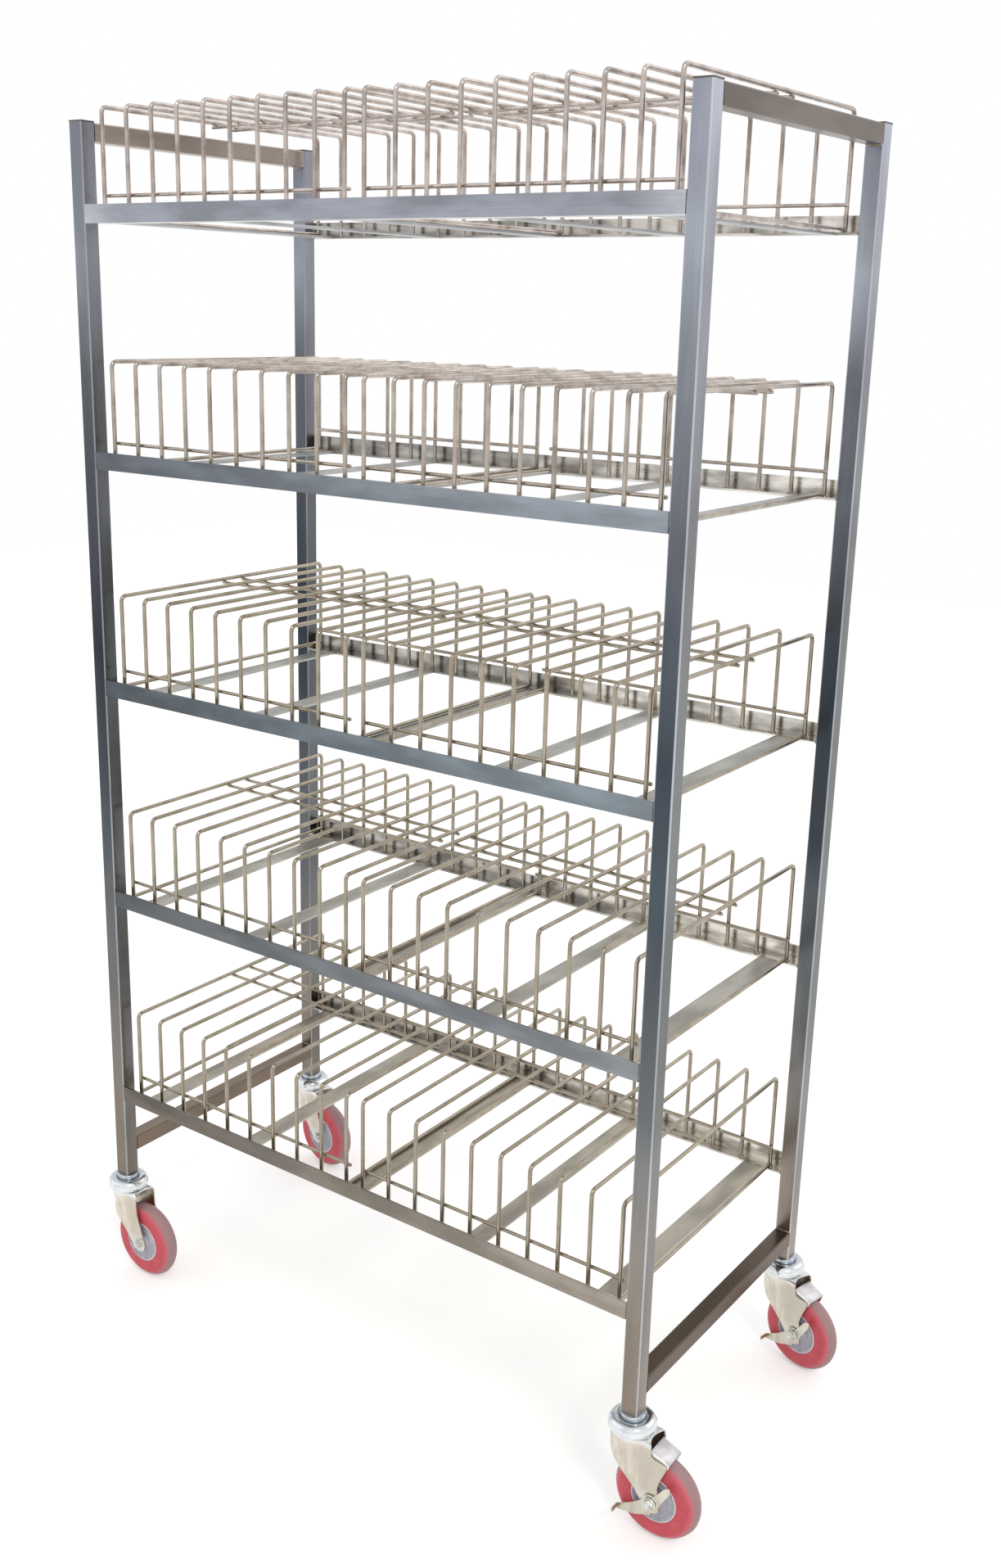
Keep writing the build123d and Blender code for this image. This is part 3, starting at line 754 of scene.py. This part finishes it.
leverModel = addRod("leverModel", leverShape["boss"], (0, back, 0), (0, face, 0), 40)
wing = cutPlate("wing", softened(leverShape["wing"]), back, face)
arm = cutPlate("arm", softened(leverShape["arm"]), back, face)
fold = cutPlate("fold", leverShape["fold"], back - leverShape["foldDepth"], face)
for part in (wing, arm, fold):
    combine(leverModel, part, "UNION")
combine(leverModel, addRod("leverBore", leverShape["bore"], (0, back - 2, 0), (0, face + 2, 0), 32))
roundEdges(leverModel, *leverShape["edge"])

# brake shoe: a folded channel over the tread, hinged through both fork sides on its pin
shoeShape = {
    "half": 17.9, "sheet": 2.0, "bore": 2.3, "edge": (0.8, 3, 34),
    "outline": [(2, 7.5), (16, 2.6), (28.2, -3.3), (29.4, -4.6), (28.9, -7.4), (26.6, -10.8), (20, -8.2),
                (14, -5.5), (6, -4.8), (0, -4.5), (-3, -3.5), (-4.5, 0), (-2.5, 5)],
    "hollow": [(-12, -20), (-12, 3.6), (1.2, 5.6), (15.2, 0.8), (27.4, -4.9), (33, -7.6), (33, -20)],
}
pinShape = {"edge": (0.15, 1, 40), "steps": 24, "profile": [
    (0.01, -21.4), (1.7, -21.4), (2.2, -21.0), (2.2, 21.0), (1.7, 21.4), (0.01, 21.4)]}
shoeModel = cutPlate("shoeModel", shoeShape["outline"], -shoeShape["half"], shoeShape["half"])
inside = shoeShape["half"] - shoeShape["sheet"]
combine(shoeModel, cutPlate("shoeHollow", shoeShape["hollow"], -inside, inside))
combine(shoeModel, addRod("shoeBore", shoeShape["bore"], (0, -clear, 0), (0, clear, 0), 20))
roundEdges(shoeModel, *shoeShape["edge"])
pinModel = spinLine("pinModel", [(r, y, 0) for r, y in pinShape["profile"]], (0, 1, 0), pinShape["steps"])
roundEdges(pinModel, *pinShape["edge"])
print("brakes folded")

models = {
    "tyre": tyreModel, "hub": hubModel, "cover": coverModel, "stem": stemModel, "plainFork": plainFork,
    "brakedFork": brakedFork, "plainAxle": plainAxle, "brakedAxle": brakedAxle, "lever": leverModel,
    "shoe": shoeModel, "pin": pinModel,
}
for model in models.values():
    keepPlace(model)

axleSpot = Matrix.Translation((trail / 1000, 0, wheelRadius / 1000))
pivotSpot = Matrix.Translation((pivotX / 1000, 0, pivotZ / 1000))
covers, stems = [], []
for name, spot in casterSet.items():
    x, y = spot["post"]
    place = Matrix.Translation((x / 1000, y / 1000, 0)) @ Matrix.Rotation(math.radians(spot["turn"]), 4, "Z")
    kind = "braked" if spot["brake"] else "plain"
    fork = fitCopy(models[kind + "Fork"], "pressed_fork_" + name, place, forkPlate)
    axle = fitCopy(models[kind + "Axle"], "axle_bolt_" + name, place @ axleSpot, boltPlate)
    hub = fitCopy(models["hub"], "moulded_hub_" + name, place @ axleSpot, hubGrey)
    tyre = fitCopy(models["tyre"], "cast_tyre_" + name, place @ axleSpot, tyreRed)
    fitted = [(fork, "caster_", "fork_", "zinc_plate"), (axle, "caster_", "axle_", "bolt_steel"),
              (hub, "wheel_", "hub_", "hub_grey"), (tyre, "wheel_", "tyre_", "tyre_red")]
    if spot["brake"]:
        lever = fitCopy(models["lever"], "folded_lever_" + name, place @ axleSpot, leverPlate)
        shoe = fitCopy(models["shoe"], "folded_shoe_" + name, place @ pivotSpot, brakePlate)
        pin = fitCopy(models["pin"], "shoe_pin_" + name, place @ pivotSpot, boltPlate)
        fitted += [(lever, "lever_", "brake_lever_", "zinc_plate"),
                   (shoe, "shoe_", "brake_shoe_", "zinc_plate"), (pin, "caster_", "brake_pin_", "bolt_steel")]
    for piece, body, node, slotName in fitted:
        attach(piece, body + name)
        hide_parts(node + name)
    covers.append(fitCopy(models["cover"], "cover_" + name, place, coverPlate))
    stems.append(fitCopy(models["stem"], "stem_" + name, place, collarPlate))
coverRings = joined(covers, "pressed_race_covers")
turnedStems = joined(stems, "turned_caster_stems")
onFrame = ((coverRings, "raceway_covers", "cover_bright"), (turnedStems, "caster_stems", "bolt_steel"))
for piece, node, slotName in onFrame:
    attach(piece, "frame")
    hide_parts(node)
for model in models.values():
    bpy.data.objects.remove(model)
print("casters fitted")

# welds: rippled beads where rails, bars and posts meet, small nuggets where wires cross
frameSizes = {
    "shelfBottoms": (1665, 1326.5, 988, 649.5, 311),
    "postInner": 475.0, "angleInner": 236.0, "angleEdge": 214.0, "angleMiddle": 225, "angleSheet": 3.0,
    "angleLeg": 25.0,
    "bars": (-430, -215, 0, 215, 430),
    "endRails": ((-487.5, (234.6, 210.4)), (487.5, (219.6, 195.4)), (-487.5, (1773.4,)), (487.5, (1773.4,))),
    "firstArch": 453.6, "archPitch": 48.656, "archesPerModule": 10,
    "frontLeg": -219.6, "backLeg": 223.3, "midWires": (-4, 38), "archHeight": 155.0,
}
# a bead's ripples swell and narrow by turns; "sunk" is how far it lies into a bar's face
beadShape = {"radius": 1.9, "length": 23.0, "ripples": 10, "sides": 8, "tip": 0.4, "ripple": 0.82,
             "lastTip": 0.45, "sunk": 0.9, "edge": (0.02, 1, 85)}
beadStretch = {"post": 1.0, "corner": 0.8, "bar": 1.2, "endRail": 0.92}
# nuggets: how far in from a leg and up from the shelf the low wires cross, how far under an arch the
# upper ones do, and the wider, flatter nugget at a leg's foot
nuggetShape = {"radius": 1.9, "squash": (1.15, 0.9, 1.0), "lowCross": (3.1, 37), "topCross": 6.1,
               "foot": 4.6, "footHeight": 3.4, "footTall": 0.8}

emptySelection()
start = -beadShape["length"] / 2000
tip, ripple, last = beadShape["tip"], beadShape["ripple"], beadShape["ripples"] * 2 - 1
bpy.ops.mesh.primitive_circle_add(
    vertices=beadShape["sides"], radius=beadShape["radius"] / 1000, fill_type="NGON", location=(0, 0, start))
beadModel = bpy.context.object
editAll()
bpy.ops.transform.resize(value=(tip, tip, 1), center_override=(0, 0, start))
step = beadShape["length"] / beadShape["ripples"] / 2000
for turn in range(last + 1):
    bpy.ops.mesh.extrude_region_move(TRANSFORM_OT_translate={"value": (0, 0, step)})
    start += step
    grow = 1 / tip if turn == 0 else ripple if turn % 2 else 1 / ripple
    if turn == last:
        grow = beadShape["lastTip"]
    bpy.ops.transform.resize(value=(grow, grow, 1), center_override=(0, 0, start))
closeShape()
roundEdges(beadModel, *beadShape["edge"])
beadModel.data.transform(beadModel.matrix_world)
beadModel.matrix_world = Matrix.Identity(4)

alongX = Matrix.Rotation(math.pi / 2, 4, "Y")
alongY = Matrix.Rotation(math.pi / 2, 4, "X")
alongZ = Matrix.Identity(4)
beadPlaces = []
inner, edge = frameSizes["postInner"], frameSizes["angleEdge"]
for bottom in frameSizes["shelfBottoms"]:
    upright, flat = bottom + frameSizes["angleLeg"] / 2, bottom + frameSizes["angleSheet"]
    for side in (-1, 1):
        for depth in (-1, 1):
            beadPlaces += [
                (side * inner, depth * frameSizes["angleInner"], upright, alongZ, beadStretch["post"]),
                (side * inner, depth * frameSizes["angleMiddle"], flat, alongY, beadStretch["corner"])]
    for x in frameSizes["bars"]:
        for depth in (-1, 1):
            beadPlaces.append((x, depth * edge, flat - beadShape["sunk"], alongX, beadStretch["bar"]))
for x, heights in frameSizes["endRails"]:
    for depth in (-1, 1):
        for z in heights:
            beadPlaces.append((x, depth * edge, z, alongX, beadStretch["endRail"]))
beads = []
for x, y, z, turn, stretch in beadPlaces:
    place = Matrix.Translation((x / 1000, y / 1000, z / 1000)) @ turn @ Matrix.Diagonal((1, 1, stretch, 1))
    beads.append(fitCopy(beadModel, "bead", place, weldSteel))
bpy.data.objects.remove(beadModel)
frameBeads = joined(beads, "frame_weld_beads")
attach(frameBeads, "frame")

emptySelection()
bpy.ops.mesh.primitive_ico_sphere_add(subdivisions=2, radius=nuggetShape["radius"] / 1000, location=(0, 0, 0))
nuggetModel = bpy.context.object
editAll()
bpy.ops.transform.resize(value=nuggetShape["squash"], center_override=(0, 0, 0))
bpy.ops.object.mode_set(mode="OBJECT")
bpy.ops.object.shade_smooth()
arches, pitch = range(frameSizes["archesPerModule"]), frameSizes["archPitch"]
archPlaces = [pitch * arch - frameSizes["firstArch"] for arch in arches]
archPlaces += [-x for x in archPlaces]
frontLeg, backLeg = frameSizes["frontLeg"], frameSizes["backLeg"]
aside, rise = nuggetShape["lowCross"]
broad, low = nuggetShape["foot"] / nuggetShape["radius"], nuggetShape["footTall"]
for index, bottom in enumerate(frameSizes["shelfBottoms"]):
    foot = bottom + nuggetShape["footHeight"]
    top = bottom + frameSizes["archHeight"] - nuggetShape["topCross"]
    spots = [(frontLeg + aside, bottom + rise, 1, 1), (backLeg - aside, bottom + rise, 1, 1)]
    spots += [(y, top, 1, 1) for y in frameSizes["midWires"]]
    spots += [(frontLeg, foot, broad, low), (backLeg, foot, broad, low)]
    nuggets = []
    for x in archPlaces:
        for y, z, wide, tall in spots:
            place = Matrix.Translation((x / 1000, y / 1000, z / 1000))
            place = place @ Matrix.Diagonal((wide, wide, tall, 1))
            nuggets.append(fitCopy(nuggetModel, "nugget", place, dividerWire))
    shelfNuggets = joined(nuggets, f"shelf_{index + 1}_wire_welds")
    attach(shelfNuggets, "frame")
bpy.data.objects.remove(nuggetModel)
print("welds placed")

# floor, light and camera
studio = {
    "floorSize": 14.0,
    "floorColour": "#e9e9e8",
    "floorGlow": 0.34,
    "ambient": 0.84,
    # strength, azimuth (0 from the front, 90 from the right), elevation, size in degrees, colour
    "lamps": {
        "key_lamp": (0.60, 55, 48, 14, "#fffaf2"),
        "fill_lamp": (0.15, -55, 35, 50, "#f2f6ff"),
        "rim_lamp": (0.25, 150, 40, 40, "#ffffff"),
    },
}


def seenShare(tree):
    # 1 for what the camera sees, directly or in a reflection, and 0 for the light on the object
    sight = addNode(tree, "ShaderNodeLightPath", {}, {})
    share = sight.outputs["Is Camera Ray"]
    for ray in ("Is Glossy Ray", "Is Transmission Ray"):
        share = addNode(tree, "ShaderNodeMath", {"operation": "MAXIMUM"}, {
            0: share, 1: sight.outputs[ray]}).outputs["Value"]
    return share


bpy.ops.object.select_all(action="DESELECT")
bpy.ops.mesh.primitive_plane_add(size=studio["floorSize"], location=(0, 0, 0))
floor = bpy.context.object
floor.name = "studio_floor"
paper, tree = newMaterial("white_paper_floor")
glow = addNode(tree, "ShaderNodeMath", {"operation": "MULTIPLY"}, {
    0: seenShare(tree), 1: studio["floorGlow"]})
matt = addNode(tree, "ShaderNodeBsdfDiffuse", {}, {"Color": linear(studio["floorColour"])})
shine = addNode(tree, "ShaderNodeEmission", {}, {"Color": (1, 1, 1, 1), "Strength": glow.outputs["Value"]})
together = addNode(tree, "ShaderNodeAddShader", {}, {0: matt.outputs["BSDF"], 1: shine.outputs["Emission"]})
addNode(tree, "ShaderNodeOutputMaterial", {}, {"Surface": together.outputs["Shader"]})
floor.data.materials.append(paper)

scene.world = bpy.data.worlds.new("studio_world")
scene.world.use_nodes = True
tree = scene.world.node_tree
tree.nodes.clear()
level = addNode(tree, "ShaderNodeMapRange", {}, {
    "Value": seenShare(tree), "To Min": studio["ambient"], "To Max": 1.0})
sky = addNode(tree, "ShaderNodeBackground", {}, {"Color": (1, 1, 1, 1), "Strength": level.outputs["Result"]})
addNode(tree, "ShaderNodeOutputWorld", {}, {"Surface": sky.outputs["Background"]})

for name, (strength, azimuth, elevation, size, colour) in studio["lamps"].items():
    lamp = bpy.data.lights.new(name, "SUN")
    lamp.energy = strength
    lamp.angle = math.radians(size)
    lamp.color = linear(colour)[:3]
    holder = bpy.data.objects.new(name, lamp)
    scene.collection.objects.link(holder)
    a, e = math.radians(azimuth), math.radians(elevation)
    back = Vector((math.sin(a) * math.cos(e), -math.cos(a) * math.cos(e), math.sin(e)))
    holder.location = back * 4
    holder.rotation_euler = back.to_track_quat("Z", "Y").to_euler()

# camera solved from the photograph's posts, caps, rails and dividers
photoCamera = {
    "place": (1.34617, -1.79862, 1.56615),
    "right": (0.80985, 0.58620, 0.02255),
    "down": (0.17911, -0.21048, -0.96105),
    "forward": (-0.55862, 0.78235, -0.27545),
    "focalPixels": 1938.14,
    "centre": (593.41, 929.84),
    "frame": (1223, 1915),
    "sensor": 36,
    "clip": (0.05, 60),
}
cameraData = bpy.data.cameras.new("photo_camera")
camera = bpy.data.objects.new("photo_camera", cameraData)
scene.collection.objects.link(camera)
axes = [Vector(photoCamera["right"]), -Vector(photoCamera["down"]), -Vector(photoCamera["forward"])]
turned = Matrix([axis.normalized() for axis in axes]).transposed().to_4x4()
camera.matrix_world = Matrix.Translation(photoCamera["place"]) @ turned
frameWide, frameHigh = photoCamera["frame"]
cameraData.sensor_fit = "VERTICAL"
cameraData.sensor_height = photoCamera["sensor"]
cameraData.sensor_width = photoCamera["sensor"]
cameraData.lens = photoCamera["sensor"] * photoCamera["focalPixels"] / frameHigh
cameraData.shift_x = (frameWide / 2 - photoCamera["centre"][0]) / frameHigh
cameraData.shift_y = (photoCamera["centre"][1] - frameHigh / 2) / frameHigh
cameraData.clip_start, cameraData.clip_end = photoCamera["clip"]
scene.camera = camera
scene.view_settings.view_transform = "Standard"
print("camera and lamps placed")
